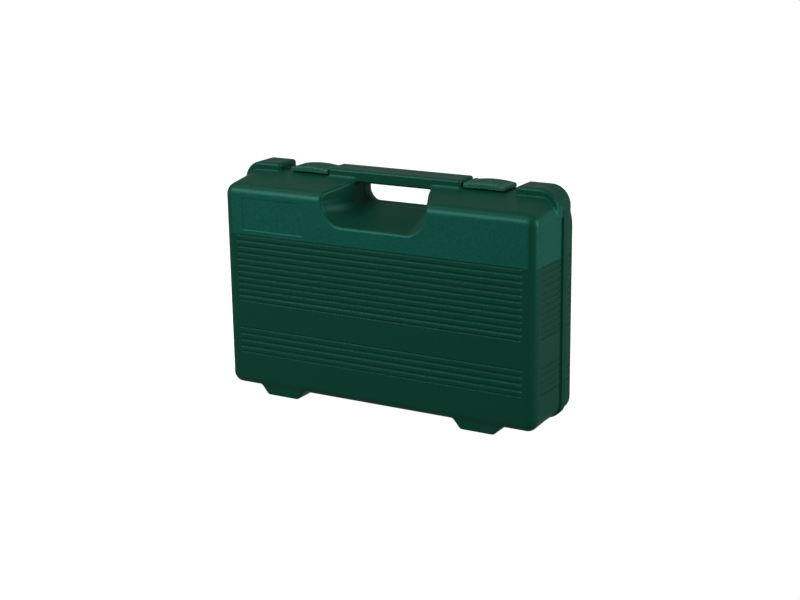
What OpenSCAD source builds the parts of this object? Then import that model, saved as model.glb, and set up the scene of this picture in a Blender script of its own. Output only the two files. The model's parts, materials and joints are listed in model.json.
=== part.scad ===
// Socket wrench set in a moulded carrying case. The closed case stands on its feet: X runs along its
// width, -Y faces the front and +Z is up. The origin lies under the middle of the case, on the floor.

/* [Case] */
// Half width of the case over the rim flange
rim_half = 215; // [213:0.5:218]
// Depth of the closed case from front face to back face
case_d = 104; // [104:1:108]
// Depth of the front shell, from its front face to the parting plane
front_d = 71; // [71:1:72]
// Height of the top of the handle above the floor
case_h = 285; // [284:0.5:287]
// Wall thickness of the moulded shells
wall = 3; // [2.6:0.1:3.2]
// Depth of the grooves between the ribs
rib_depth = 1.5; // [1:0.1:1.6]
// Height of one groove between two ribs
rib_gap = 4; // [3:0.25:4.5]

/* [Handle and latches] */
// Half length of the handle bar
handle_half = 90; // [88:1:91]
// Half width of the finger hole
finger_half = 52; // [48:1:54]
// Length of a slide latch
latch_l = 56; // [50:1:56]
// Outward travel of a slide latch
latch_travel = 12; // [8:1:12]

/* [Feet and hinge] */
// Height of the feet under the shell
foot_h = 10; // [10:0.5:11]
// Radius of the hinge knuckles
knuckle_r = 4.2; // [3.8:0.1:4.3]
// Radius of the steel hinge pins
pin_r = 1.5; // [1.3:0.1:1.8]

/* [Tray and foam] */
// Thickness of the tray's back panel
panel_t = 2.5; // [2:0.1:3]
// Gap between a tool and its seat in a rail
seat_gap = 0.6; // [0.4:0.1:0.7]

/* [Tools] */
// Side of the large drive square
drive = 12.7; // [12.5:0.1:12.8]
// Side of the small drive square
small_drive = 6.35; // [6.2:0.05:6.4]
// Size of the small ratchet against the large one
small_scale = 0.6; // [0.55:0.01:0.62]
// Swing of the selector lever between its two detents, in degrees
lever_swing = 36; // [24:1:40]

/* [Hidden] */
$fn = 48;

SIZES = [10, 11, 12, 13, 14, 15, 16, 17, 18, 19, 20, 21, 22, 24, 27, 30, 32];
SMALL_SIZES = [14, 13, 12, 11, 10, 9, 8, 7, 6, 5.5, 5, 4.5, 4];
CASE_NODES = ["front_shell", "rear_shell", "left_latch", "right_latch", "hinge_pins", "tray_panel",
              "tray_sides", "tray_rails", "tray_spacers", "foam_pad"];
RATCHET_PARTS = ["body", "grip", "cover", "screws", "gear", "lever", "pawl", "button", "ball"];
TOOL_NODES = ["long_extension", "short_extension", "small_extension", "joint_socket_yoke",
              "joint_cross", "joint_square_yoke", "slide_bar", "slide_head", "spinner_grip",
              "spinner_shank", "adapter", "plug_socket", "plug_socket_insert", "small_sockets"];

case_green = [0.05, 0.22, 0.16];
chrome = [0.78, 0.79, 0.8];
steel = [0.5, 0.51, 0.53];
black = [0.08, 0.08, 0.09];

// Planes of the case, front to back
front_y = -case_d / 2;
part_y = front_y + front_d;
back_y = case_d / 2;
ledge_y = part_y - 21;
rear_ledge_y = part_y + 17;
handle_back_y = part_y + 14;
seam = 0.1;

// Levels of the case, floor to top
base_z = foot_h;
edge_z = 251;
ledge_z = 276;
hole_top_z = 270;
recess_z = 221;
crest_z = 245;
block_x = 160;
channel_gap = 2;
ridge_pitch = 6;
tongue_x0 = 112;
tongue_x1 = 128;

front_half = 210;
seam_half = 213;
flange_r0 = 23;
flange_r1 = 28;
shell_r0 = 18;
shell_r1 = 24;
cavity_r0 = 15;
cavity_r1 = 12;
edge_r = 10;
plan_r = 10.5;
flange_d = 6;
beyond = 20;

// Hinge
hinge_z = 5.2;
hinge_x = 81;
hinge_w = 44;
leaf_w = 19;
pin_gap = 0.02;
turn_gap = 0.05;

// Tray: rails across the width hold the rows of tools in front of a back panel
tray_half = 196;
side_t = 2.8;
tray_z0 = 17;
tray_z1 = 256;
tray_y = part_y - 22;
panel_y = part_y + 15.6;
spacer_x = 150;
spacer_r = 5;
notch_half = 79;
notch_z = 224;
notch_side = 2.5;
plate_z0 = 220;
mouth_y = tray_y - 8;
foam_y = mouth_y - 6.5;

// Rows of tools, by height
row_ratchet = 40;
row_bars = 73;
row_slide = 101;
row_small = 131;
row_small_sockets = 158;
row_large = 191;
row_top = 232;
tools_x0 = -190;
tools_x1 = 60;
small_pitch = 28;
small_length = 25;

big_place = [-170, part_y - 17, row_ratchet];
small_place = [-178.5, part_y - 16, row_small];
joint_place = [120, part_y - 5, row_ratchet];
slide_x = -165;
slide_reach = 200;

// Middle lines and ends of the tools that lie along X
bar_y = part_y - 17;
extension_y = part_y - 14.6;
small_extension_y = part_y - 16;
spinner_y = part_y - 15.5;
plug_y = part_y - 15.4;
short_x = [68, 192];
small_x = [116, 191];
adapter_x = [72, 108];
plug_x = [118, 183];
spinner_x = [-30, 110];
female_r = 11;
slide_r = 6;
insert_r = 9.5;

// Ratchet, in the large one's own millimetres
head_r = 19;
head_half = 11;
cover_t = 2;
gear_r = 11;
gear_teeth = 36;
pawl_r = 4;
pivot_x = gear_r + pawl_r + 0.5;
boss_r = 9.8;
hub_r = 7.5;
tang_r = 5.5;
shaft_r = 2.5;
screw_x = 5;
screw_z = 13.6;
screw_r = 1.4;
grip_x0 = 108;
grip_x1 = 231;
grip_r = 15;
button_r = 4.5;
rod_r = 1.6;
ball_r = 2.5;
ball_y = 21;
ball_proud = 0.8;
run_gap = 0.06;

function arc(c, r, a0, a1, n = 6) =
    [for (i = [0:n]) c + r * [cos(a0 + (a1 - a0) * i / n), sin(a0 + (a1 - a0) * i / n)]];
function mirrored(points) = [for (i = [len(points) - 1:-1:0]) [-points[i].x, points[i].y]];

// Outer radius and length of a socket, from the size of its hexagon
function socket_r(s) = max(11, 0.65 * s + 1);
function small_socket_r(s) = max(6, 0.65 * s + 1);
function small_socket_x(i) = (i - (len(SMALL_SIZES) - 1) / 2) * small_pitch;
function socket_l(s) = s < 24 ? 38 : s < 30 ? 42 : 45;
// Places of the sockets: four and four beside the handle recess, the rest in the long row
large_gap = 11.1;
function large_x(i) = i == 8 ? -192 + socket_r(SIZES[8])
    : large_x(i - 1) + socket_r(SIZES[i - 1]) + large_gap + socket_r(SIZES[i]);
function socket_x(i) = i < 4 ? -178 + 27 * i : i < 8 ? 97 + 27 * (i - 4) : large_x(i);
function socket_z(i) = i < 8 ? row_top : row_large;

module along_y(y0, y1) {
    translate([0, y1, 0]) rotate([90, 0, 0]) linear_extrude(y1 - y0) children();
}

module along_x(x0, x1) {
    translate([x0, 0, 0]) rotate([90, 0, 90]) linear_extrude(x1 - x0) children();
}

// A round bar along X, from x0 to x1, on the line y, z
module bar_x(x0, x1, y, z, r, r2 = -1) {
    translate([x0, y, z]) rotate([0, 90, 0]) cylinder(h = x1 - x0, r1 = r, r2 = r2 < 0 ? r : r2);
}

// A round bar along Y
module bar_y(y0, y1, x, z, r) {
    translate([x, y1, z]) rotate([90, 0, 0]) cylinder(h = y1 - y0, r = r);
}

// A box given by its lowest and highest corners
module block(low, high) {
    translate(low) cube(high - low);
}

// Upright outline with one radius for its lower corners and one for its upper corners
module upright(half, z0, z1, r0, r1) {
    polygon([[-half + r0, z0], [half - r0, z0], [half, z0 + r0], [half, z1 - r1],
             [half - r1, z1], [-half + r1, z1], [-half, z1 - r1], [-half, z0 + r0]]);
    for (s = [-1, 1]) {
        translate([s * (half - r0), z0 + r0]) circle(r0);
        translate([s * (half - r1), z1 - r1]) circle(r1);
    }
}

// Plan outline of a shell, from its half width at the seam to its half width at the face
function plan(g, face_y, face_half, r, dir) =
    let (right = concat([[seam_half - g, part_y]],
                        arc([face_half - r, face_y + dir * r], r - g, 0, -dir * 90)))
    concat(right, mirrored(right));

// Side profile of the front shell, g inside its outer face
function front_profile(g) = concat(
    [[part_y, base_z + g]],
    arc([front_y + edge_r, base_z + edge_r], edge_r - g, 270, 180),
    arc([front_y + edge_r, edge_z], edge_r - g, 180, 110.6),
    [[ledge_y, ledge_z - g]],
    g > 0 ? [[part_y, ledge_z - g]] : [[ledge_y, case_h], [part_y, case_h]]);

// Side profile of the rear shell
function rear_profile(g) = concat(
    [[part_y, base_z + g]],
    arc([back_y - edge_r, base_z + edge_r], edge_r - g, -90, 0),
    arc([back_y - edge_r, edge_z + 4], edge_r - g, 0, 60),
    g > 0 ? [[rear_ledge_y, ledge_z - g], [part_y, ledge_z - g]]
          : [[rear_ledge_y, ledge_z], [rear_ledge_y, case_h], [part_y, case_h]]);

// Recess under the handle, with the finger hole, grown by g
module recess(g) {
    intersection() {
        along_y(front_y - beyond, back_y + beyond)
            polygon([[-50 - g, recess_z - g], [50 + g, recess_z - g], [72 + g, edge_z - 4],
                     [72 + g, case_h + beyond], [-72 - g, case_h + beyond], [-72 - g, edge_z - 4]]);
        along_x(-rim_half, rim_half)
            polygon([[front_y - beyond, recess_z - g], [front_y + 6, recess_z + 2 - g],
                     [front_y + 30, recess_z + 13 - g], [front_y + 55, crest_z - 3 - g],
                     [part_y + 5, crest_z - g], [back_y, crest_z - 9 - g],
                     [back_y + beyond, crest_z - 12 - g], [back_y + beyond, case_h + beyond],
                     [handle_back_y - g, case_h + beyond], [handle_back_y - g, hole_top_z + g],
                     [ledge_y + g, hole_top_z + g], [ledge_y + g, case_h + beyond],
                     [front_y - beyond, case_h + beyond]]);
        linear_extrude(case_h + beyond)
            polygon([[-74 - g, front_y - beyond], [74 + g, front_y - beyond], [72 + g, front_y],
                     [finger_half + g, ledge_y - 2], [finger_half + g, handle_back_y + 2],
                     [62 + g, back_y + beyond], [-62 - g, back_y + beyond],
                     [-finger_half - g, handle_back_y + 2], [-finger_half - g, ledge_y - 2],
                     [-72 - g, front_y]]);
    }
}

// Grooves of the two ribbed fields, cut rib_depth into a shell whose plan outline is given
module rib_grooves(points, y0, y1, across) {
    for (z = concat([for (i = [0:10]) 120 + 7.6 * i], [for (i = [0:3]) 56 + 8 * i])) {
        translate([0, 0, z - rib_gap / 2]) linear_extrude(rib_gap) difference() {
            union() {
                for (s = [-1, 1]) translate([s * 210 - 12, y0]) square([24, y1 - y0]);
                if (across) translate([-196, front_y - 1]) square([392, 8]);
            }
            polygon(points);
        }
    }
}

// Channels for the two latches, between the handle and the corner blocks
module latch_channels() {
    for (s = [-1, 1]) {
        translate([s * (handle_half + block_x) / 2, (ledge_y + rear_ledge_y) / 2, ledge_z + beyond / 2])
            cube([block_x - handle_half, rear_ledge_y - ledge_y + channel_gap, beyond], center = true);
    }
}

// A foot block under each side of a shell
module feet(y0, y1) {
    for (s = [-1, 1]) {
        along_y(y0, y1)
            polygon([[s * 104, base_z + 1], [s * 113, 0], [s * 157, 0], [s * 166, base_z + 1]]);
    }
}

// Leaf of the hinge: knuckle and web, on the side of the shell given by dir
module hinge_leaf(x0, x1, dir, bore) {
    difference() {
        union() {
            bar_x(x0, x1, part_y, hinge_z, knuckle_r);
            translate([x0, dir < 0 ? part_y - knuckle_r : part_y + 2 * seam, hinge_z])
                cube([x1 - x0, knuckle_r - 2 * seam, base_z + 1 - hinge_z]);
        }
        bar_x(x0 - 1, x1 + 1, part_y, hinge_z, bore);
    }
}

module front_shell() {
    color(case_green) difference() {
        union() {
            difference() {
                union() {
                    intersection() {
                        along_y(front_y, part_y - seam)
                            upright(seam_half, base_z, case_h, shell_r0, shell_r1);
                        along_x(-rim_half, rim_half) polygon(front_profile(0));
                        linear_extrude(case_h) polygon(plan(0, front_y, front_half, plan_r, 1));
                    }
                    along_y(part_y - flange_d, part_y - seam)
                        upright(rim_half, base_z, case_h, flange_r0, flange_r1);
                }
                latch_channels();
                rib_grooves(plan(rib_depth, front_y, front_half, plan_r, 1),
                            front_y + 14, part_y - flange_d - 2, true);
                difference() {
                    intersection() {
                        along_y(front_y, part_y)
                            upright(seam_half - wall, base_z + wall, ledge_z - wall, cavity_r0, cavity_r1);
                        along_x(-rim_half, rim_half) polygon(front_profile(wall));
                        linear_extrude(case_h)
                            polygon(plan(wall, front_y, front_half, plan_r, 1));
                    }
                    recess(wall);
                }
            }
            feet(front_y + 2, part_y - 1);
            for (s = [-1, 1]) {
                mid = s * hinge_x;
                hinge_leaf(mid - leaf_w / 2, mid + leaf_w / 2, -1, pin_r + turn_gap);
            }
        }
        recess(0);
    }
}

module rear_shell() {
    inner_w = (hinge_w - leaf_w) / 2 - 0.5;
    color(case_green) difference() {
        union() {
            difference() {
                union() {
                    intersection() {
                        along_y(part_y + seam, back_y)
                            upright(seam_half, base_z, case_h, shell_r0, shell_r1);
                        along_x(-rim_half, rim_half) polygon(rear_profile(0));
                        linear_extrude(case_h) polygon(plan(0, back_y, front_half + 1, 12, -1));
                    }
                    along_y(part_y + seam, part_y + flange_d)
                        upright(rim_half, base_z, case_h, flange_r0, flange_r1);
                }
                latch_channels();
                rib_grooves(plan(rib_depth, back_y, front_half + 1, 12, -1),
                            part_y + flange_d + 2, back_y - 6, false);
                difference() {
                    intersection() {
                        along_y(part_y, back_y)
                            upright(seam_half - wall, base_z + wall, ledge_z - wall, cavity_r0, cavity_r1);
                        along_x(-rim_half, rim_half) polygon(rear_profile(wall));
                        linear_extrude(case_h) polygon(plan(wall, back_y, front_half + 1, 9, -1));
                    }
                    recess(wall);
                }
                latch_slots();
            }
            feet(part_y + 6.5, back_y - 6);
            for (s = [-1, 1], e = [-1, 1]) {
                mid = s * hinge_x + e * (hinge_w - inner_w) / 2;
                hinge_leaf(mid - inner_w / 2, mid + inner_w / 2, 1, pin_r + pin_gap);
            }
        }
        recess(0);
    }
}

// Slots in the rear ledge for the tongues of the latches
module latch_slots() {
    for (s = [-1, 1]) {
        x0 = tongue_x0 - 1;
        x1 = tongue_x1 + 1 + latch_travel;
        block([s > 0 ? x0 : -x1, part_y + 7, ledge_z - 2 * wall],
              [s > 0 ? x1 : -x0, part_y + 12, ledge_z + 1]);
    }
}

// Slide latch on one side: grip plate with ridges, tongue and retaining foot
module latch(side) {
    x0 = handle_half + channel_gap;
    color(black) mirror([side < 0 ? 1 : 0, 0, 0]) {
        block([x0, ledge_y + channel_gap, ledge_z + 0.3],
              [x0 + latch_l, rear_ledge_y - channel_gap, ledge_z + 6.5]);
        for (i = [0:7]) {
            translate([x0 + ridge_pitch * (i + 1), 0, 0])
                block([0, ledge_y + 4, ledge_z + 6], [2.5, rear_ledge_y - 4, ledge_z + 8]);
        }
        block([tongue_x0, part_y + 7.5, ledge_z - 7], [tongue_x1, part_y + 11.5, ledge_z + 1]);
        block([tongue_x0, part_y + 5, ledge_z - 6.5], [tongue_x1, part_y + 14, ledge_z - wall - 0.5]);
    }
}

module left_latch() {
    latch(-1);
}

module right_latch() {
    latch(1);
}

module hinge_pins() {
    color(steel) for (s = [-1, 1]) {
        bar_x(s * hinge_x - hinge_w / 2, s * hinge_x + hinge_w / 2, part_y, hinge_z, pin_r);
    }
}

// Round seats cut in the rails, as [x, z, radius, floor plane]
round_seats = concat(
    [for (i = [0:len(SIZES) - 1])
        [socket_x(i), socket_z(i), socket_r(SIZES[i]), mouth_y + socket_l(SIZES[i])]],
    [for (i = [0:len(SMALL_SIZES) - 1])
        [small_socket_x(i), row_small_sockets, small_socket_r(SMALL_SIZES[i]), mouth_y + small_length]],
    [[big_place.x, big_place.z, head_r, big_place.y + head_half],
     [big_place.x, big_place.z, drive * 0.71, big_place.y + head_half + 18],
     [small_place.x, small_place.z, head_r * small_scale, small_place.y + head_half * small_scale],
     [small_place.x, small_place.z, small_drive * 0.71, small_place.y + head_half * small_scale + 9]]);

// Long seats as [x0, x1, z, half height, floor plane]: the two ratchets' heads, shanks and grips, the
// large extensions, the T-bar's head and bar, the adapter, the plug socket, the small extension, the
// spinner's grip and shank, and the universal joint
long_seats = [
    [big_place.x, big_place.x + 22, row_ratchet, head_r, big_place.y + head_half],
    [small_place.x, small_place.x + 18, row_small, head_r * small_scale, small_place.y + 8],
    [big_place.x, big_place.x + grip_x0, row_ratchet, 12, big_place.y + 9],
    [big_place.x + grip_x0 - 1, big_place.x + grip_x1, row_ratchet, grip_r, big_place.y + grip_r],
    [small_place.x, small_place.x + grip_x0 * small_scale, row_small, 7.2, small_place.y + 5.4],
    [small_place.x + grip_x0 * small_scale - 1, small_place.x + grip_x1 * small_scale, row_small,
     grip_r * small_scale, small_place.y + grip_r * small_scale],
    [tools_x0, tools_x1, row_bars, female_r, part_y - 3],
    [short_x[0], short_x[1], row_bars, female_r, part_y - 3],
    [slide_x - 14, slide_x + slide_reach + 14, row_slide, 13, part_y + 11],
    [tools_x0, tools_x1, row_slide, slide_r, bar_y + slide_r],
    [adapter_x[0], adapter_x[1], row_slide, female_r, part_y - 3],
    [plug_x[0], plug_x[1], row_slide, 14, part_y - 1],
    [small_x[0], small_x[1], row_small, 6.5, part_y - 9],
    [spinner_x[0], 71, row_small, 14, part_y - 1],
    [70, spinner_x[1], row_small, 6.5, part_y - 8],
    [79, 106, row_ratchet, 11, joint_place.y + 11],
    [105, 165, row_ratchet, 18.4, joint_place.y + 12]];

// Rails as [x0, x1, z0, z1]
inner_half = tray_half - side_t;
rails = [
    [-inner_half, inner_half, tray_z0, 25.4],
    [-inner_half, inner_half, 54.6, 64],
    [-inner_half, 110, 82, 94],
    [112, inner_half, 82, 90],
    [-inner_half, 110, 108, 124.4],
    [112, inner_half, 112, 124.4],
    [-inner_half, inner_half, 137.6, 151],
    [-inner_half, inner_half, 165, 177.6],
    [-inner_half, inner_half, 204.4, plate_z0],
    [-inner_half, -notch_half - notch_side, 244, tray_z1],
    [notch_half + notch_side, inner_half, 244, tray_z1]];

module seats() {
    for (w = round_seats) bar_y(tray_y - 1, w[3], w[0], w[1], w[2] + seat_gap);
    for (w = long_seats) {
        block([w[0] - seat_gap, tray_y - 1, w[2] - w[3] - seat_gap],
              [w[1] + seat_gap, w[4], w[2] + w[3] + seat_gap]);
    }
}

module tray_rails() {
    color(black) difference() {
        union() {
            for (r = rails) block([r[0], tray_y, r[2]], [r[1], part_y, r[3]]);
            block([82, tray_y, tray_z0 + 1], [102, part_y, 30]);
            block([82, tray_y, 50], [102, part_y, 63]);
        }
        seats();
    }
}

// Back panel, with the notch under the handle
module tray_panel() {
    color(black) along_y(panel_y, panel_y + panel_t) difference() {
        translate([-tray_half, tray_z0]) square([2 * tray_half, tray_z1 - tray_z0]);
        translate([-notch_half, notch_z]) square([2 * notch_half, tray_z1]);
    }
}

// Side plates that carry the ends of the rails
module tray_sides() {
    color(black) for (s = [-1, 1]) {
        translate([s * (tray_half - side_t / 2), (tray_y + panel_y) / 2, (tray_z0 + tray_z1) / 2])
            cube([side_t, panel_y - tray_y, tray_z1 - tray_z0], center = true);
        translate([s * (notch_half + notch_side / 2), (tray_y + panel_y) / 2, (plate_z0 + tray_z1) / 2])
            cube([notch_side, panel_y - tray_y, tray_z1 - plate_z0], center = true);
    }
}

module tray_spacers() {
    color(black) for (s = [-1, 1], z = [60, 200]) {
        bar_y(panel_y + panel_t, back_y - wall, s * spacer_x, z, spacer_r);
    }
}

module foam_pad() {
    color("dimgray") along_y(front_y + wall, foam_y)
        difference() {
            upright(196, 24, 244, 10, 10);
            translate([-notch_half, notch_z - 12]) square([2 * notch_half, 40]);
        }
}

// Ratchet parts in the large ratchet's own frame: gear axis along Y through the origin, shank along +X

module head_outline(r) {
    circle(r);
    polygon([[0, -r], [pivot_x + 6, -12], [38, -8], [38, 8], [pivot_x + 6, 12], [0, r]]);
}

module ratchet_body() {
    color(chrome) difference() {
        union() {
            along_y(-head_half, head_half) head_outline(head_r);
            bar_x(34, grip_x0, 0, 0, 8, 6.5);
            bar_x(grip_x0 - 0.5, grip_x1 - 12, 0, 0, tang_r);
        }
        bar_y(-head_half - 1, 7.3, 0, 0, gear_r + 0.6);
        bar_y(-head_half - 1, head_half + 1, 0, 0, boss_r + run_gap);
        bar_y(-head_half - 1, 4, pivot_x, 0, pawl_r + 0.4);
        for (s = [-1, 1]) bar_y(-head_half - 1, -head_half + 6, screw_x, s * 15, 1.3);
    }
}

module ratchet_grip() {
    r = grip_r;
    color(black) difference() {
        rotate([0, 90, 0]) rotate_extrude() polygon(concat(
            [[tang_r + pin_gap, grip_x0], [r - 4, grip_x0]], arc([r - 4, grip_x0 + 4], 4, -90, 0, 4),
            [[r - 2, grip_x0 + 30], [r - 2, grip_x1 - 40], [r, grip_x1 - 20]],
            arc([r - 6, grip_x1 - 6], 6, 0, 90, 5), [[0, grip_x1], [0, grip_x1 - 11.9],
            [tang_r + pin_gap, grip_x1 - 11.9]]));
        for (a = [0:60:300]) rotate([a, 0, 0]) bar_x(grip_x0 + 24, grip_x1 - 28, 0, r + 0.4, 2.6);
    }
}

module cover_outline() {
    circle(17);
    translate([pivot_x, 0]) circle(7);
}

module ratchet_cover() {
    color(chrome) difference() {
        along_y(-head_half - cover_t, -head_half) cover_outline();
        bar_y(-head_half - cover_t - 1, -head_half + 1, 0, 0, hub_r + run_gap);
        bar_y(-head_half - cover_t - 1, -head_half + 1, pivot_x, 0, shaft_r + run_gap);
        for (s = [-1, 1]) bar_y(-head_half - cover_t - 1, -head_half + 1, screw_x, s * screw_z, screw_r);
    }
}

module ratchet_screws() {
    cover_y = -head_half - cover_t;
    slot_half = 0.35;
    color(steel) for (s = [-1, 1]) {
        difference() {
            union() {
                bar_y(cover_y - 1, cover_y, screw_x, s * screw_z, 2.2);
                bar_y(cover_y, -head_half, screw_x, s * screw_z, screw_r - pin_gap);
            }
            block([screw_x - 1.5, cover_y - 2, s * screw_z - slot_half],
                  [screw_x + 1.5, cover_y - 0.5, s * screw_z + slot_half]);
        }
    }
}

// Ring of ratchet teeth, from its tip radius and count
module toothed_ring(r, teeth) {
    step = 180 / teeth;
    polygon([for (i = [0:2 * teeth - 1]) (i % 2 == 0 ? r : r - 0.8) * [cos(i * step), sin(i * step)]]);
}

module ratchet_gear(side) {
    color(steel) difference() {
        union() {
            along_y(-10.6, 7) toothed_ring(gear_r, gear_teeth);
            bar_y(-13.5, -10, 0, 0, hub_r);
            bar_y(6, head_half + 0.6, 0, 0, boss_r);
            block([-side / 2, 10, -side / 2], [side / 2, head_half + 17, side / 2]);
        }
        bar_y(-14.5, -7.2, 0, 0, button_r + run_gap);
        bar_y(-8, 18.2, 0, 0, rod_r + run_gap);
        bar_x(0, side / 2 + 1, ball_y, 0, ball_r + run_gap);
    }
}

module ratchet_button() {
    color(chrome) union() {
        bar_y(-16, -9, 0, 0, button_r);
        bar_y(-9.5, 16.5, 0, 0, rod_r);
    }
}

module ratchet_ball(side) {
    color(steel) translate([side / 2 + ball_proud - ball_r, ball_y, 0]) sphere(ball_r);
}

// Selector lever, drawn at one detent
module ratchet_lever() {
    color(chrome) translate([pivot_x, 0, 0]) rotate([0, lever_swing / 2, 0]) {
        bar_y(-16.8, -13.3, 0, 0, 4.2);
        along_y(-16.3, -13.5) polygon([[0, -3.4], [14, -2], [15.5, 0], [14, 2], [0, 3.4]]);
        bar_y(-13.5, 1, 0, 0, shaft_r);
    }
}

// Double-ended pawl on the lever's shaft
module ratchet_pawl() {
    color(steel) translate([pivot_x, 0, 0]) rotate([0, lever_swing / 2, 0]) difference() {
        along_y(-9, 3) intersection() {
            circle(pawl_r);
            translate([-pawl_r, -3.4]) square([2 * pawl_r - 1.5, 6.8]);
        }
        bar_y(-10, 1.1, 0, 0, shaft_r + pin_gap);
    }
}

// One part of a ratchet by name, for a drive square of the given side
module ratchet_part(p, place, size, side) {
    translate(place) scale(size) {
        if (p == "body") ratchet_body();
        if (p == "grip") ratchet_grip();
        if (p == "cover") ratchet_cover();
        if (p == "screws") ratchet_screws();
        if (p == "gear") ratchet_gear(side / size);
        if (p == "lever") ratchet_lever();
        if (p == "pawl") ratchet_pawl();
        if (p == "button") ratchet_button();
        if (p == "ball") ratchet_ball(side / size);
    }
}

// Extension bar: female end at the left, male square at the right
module extension(x0, x1, y, z, side, end_r, bar_r) {
    square_l = 1.25 * side;
    end_l = 2.2 * side;
    color(chrome) difference() {
        union() {
            bar_x(x0, x0 + end_l, y, z, end_r);
            bar_x(x0 + end_l - 0.01, x0 + end_l + 6, y, z, end_r, bar_r);
            bar_x(x0 + end_l, x1 - square_l, y, z, bar_r);
            bar_x(x1 - square_l - 14, x1 - square_l, y, z, end_r - 2);
            block([x1 - square_l - 1, y - side / 2 + 0.1, z - side / 2 + 0.1],
                  [x1, y + side / 2 - 0.1, z + side / 2 - 0.1]);
        }
        block([x0 - 1, y - side / 2, z - side / 2], [x0 + 1.3 * side, y + side / 2, z + side / 2]);
    }
}

module long_extension() {
    extension(tools_x0, tools_x1, extension_y, row_bars, drive, female_r, 6.5);
}

module short_extension() {
    extension(short_x[0], short_x[1], extension_y, row_bars, drive, female_r, 6.5);
}

module small_extension() {
    extension(small_x[0], small_x[1], small_extension_y, row_small, small_drive, 6, 4);
}

// Universal joint: the pivot is at joint_place, ears of the socket yoke above and below it,
// ears of the square yoke before and behind it
module yoke_ears(back) {
    for (s = [-1, 1]) {
        translate([0, 0, s > 0 ? 6 : -11]) difference() {
            union() {
                cylinder(h = 5, r = 5.5);
                translate([back, -4.5, 0]) cube([-back, 9, 5]);
            }
            translate([0, 0, -1]) cylinder(h = 7, r = 2.5 + run_gap);
        }
    }
}

module joint_socket_yoke() {
    color(chrome) translate(joint_place) difference() {
        union() {
            bar_x(-40, -14, 0, 0, female_r);
            intersection() {
                yoke_ears(-16);
                bar_x(-20, 10, 0, 0, female_r);
            }
        }
        block([-41, -drive / 2, -drive / 2], [-24, drive / 2, drive / 2]);
    }
}

module joint_cross() {
    color(steel) translate(joint_place) {
        cube([7, 10.6, 10.6], center = true);
        translate([0, 0, -10.4]) cylinder(h = 20.8, r = 2.5);
        rotate([90, 0, 0]) translate([0, 0, -10.4]) cylinder(h = 20.8, r = 2.5);
    }
}

module joint_square_yoke() {
    color(chrome) translate(joint_place) {
        bar_x(14, 26, 0, 0, female_r);
        intersection() {
            rotate([90, 0, 0]) mirror([1, 0, 0]) yoke_ears(-16);
            bar_x(-10, 20, 0, 0, female_r);
        }
        block([25, -drive / 2, -drive / 2], [40, drive / 2, drive / 2]);
    }
}

module slide_bar() {
    color(chrome) {
        bar_x(tools_x0 + 2, tools_x1 - 2, bar_y, row_slide, slide_r);
        for (x = [tools_x0, tools_x1 - 2]) bar_x(x, x + 2, bar_y, row_slide, 5.2);
    }
}

module slide_head() {
    color(chrome) translate([slide_x, bar_y, row_slide]) difference() {
        union() {
            bar_y(-10, 10, 0, 0, 12);
            block([-drive / 2, 9, -drive / 2], [drive / 2, 26, drive / 2]);
        }
        bar_x(-15, 15, 0, 0, slide_r + turn_gap);
    }
}

module spinner_grip() {
    r = 14;
    rod = 4;
    color(black) translate([0, spinner_y, row_small]) difference() {
        rotate([0, 90, 0]) rotate_extrude() polygon(concat(
            [[0, spinner_x[0]]], arc([r - 8, spinner_x[0] + 8], 8, -90, 0, 5),
            [[r, 20], [r - 3.5, 36], [r - 3.5, 50]], arc([r - 4, 66], 4, 0, 90, 4),
            [[rod + pin_gap, 70], [rod + pin_gap, 0], [0, 0]]));
        for (a = [0:45:315]) rotate([a, 0, 0]) bar_x(-16, 26, 0, r + 1, 2.6);
    }
}

module spinner_shank() {
    color(chrome) {
        bar_x(0.1, 98, spinner_y, row_small, 4);
        bar_x(96, 102, spinner_y, row_small, 6);
        block([101, spinner_y - small_drive / 2, row_small - small_drive / 2],
              [spinner_x[1], spinner_y + small_drive / 2, row_small + small_drive / 2]);
    }
}

// Reducing adapter: large female square to small male square
module adapter() {
    y = extension_y;
    x0 = adapter_x[0];
    color(chrome) difference() {
        union() {
            bar_x(x0, x0 + 20, y, row_slide, female_r);
            bar_x(x0 + 19.9, x0 + 27, y, row_slide, female_r, 6);
            block([x0 + 26, y - small_drive / 2, row_slide - small_drive / 2],
                  [adapter_x[1], y + small_drive / 2, row_slide + small_drive / 2]);
        }
        block([x0 - 1, y - drive / 2, row_slide - drive / 2],
              [x0 + 16, y + drive / 2, row_slide + drive / 2]);
    }
}

module plug_socket() {
    y = plug_y;
    x0 = plug_x[0];
    plug_s = 21;
    color(chrome) difference() {
        union() {
            bar_x(x0, x0 + 18, y, row_slide, 12);
            bar_x(x0 + 17.9, x0 + 21, y, row_slide, 12, 14);
            bar_x(x0 + 20.9, plug_x[1], y, row_slide, 14);
        }
        block([x0 - 1, y - drive / 2, row_slide - drive / 2],
              [x0 + 16, y + drive / 2, row_slide + drive / 2]);
        bar_x(x0 + 15, x0 + 52, y, row_slide, insert_r);
        translate([x0 + 47, y, row_slide]) rotate([0, 90, 0])
            cylinder(h = 20, r = plug_s / sqrt(3), $fn = 6);
    }
}

module plug_socket_insert() {
    x0 = plug_x[0] + 22;
    color(black) difference() {
        bar_x(x0, x0 + 22, plug_y, row_slide, insert_r);
        bar_x(x0 - 1, x0 + 23, plug_y, row_slide, 6);
    }
}

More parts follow.
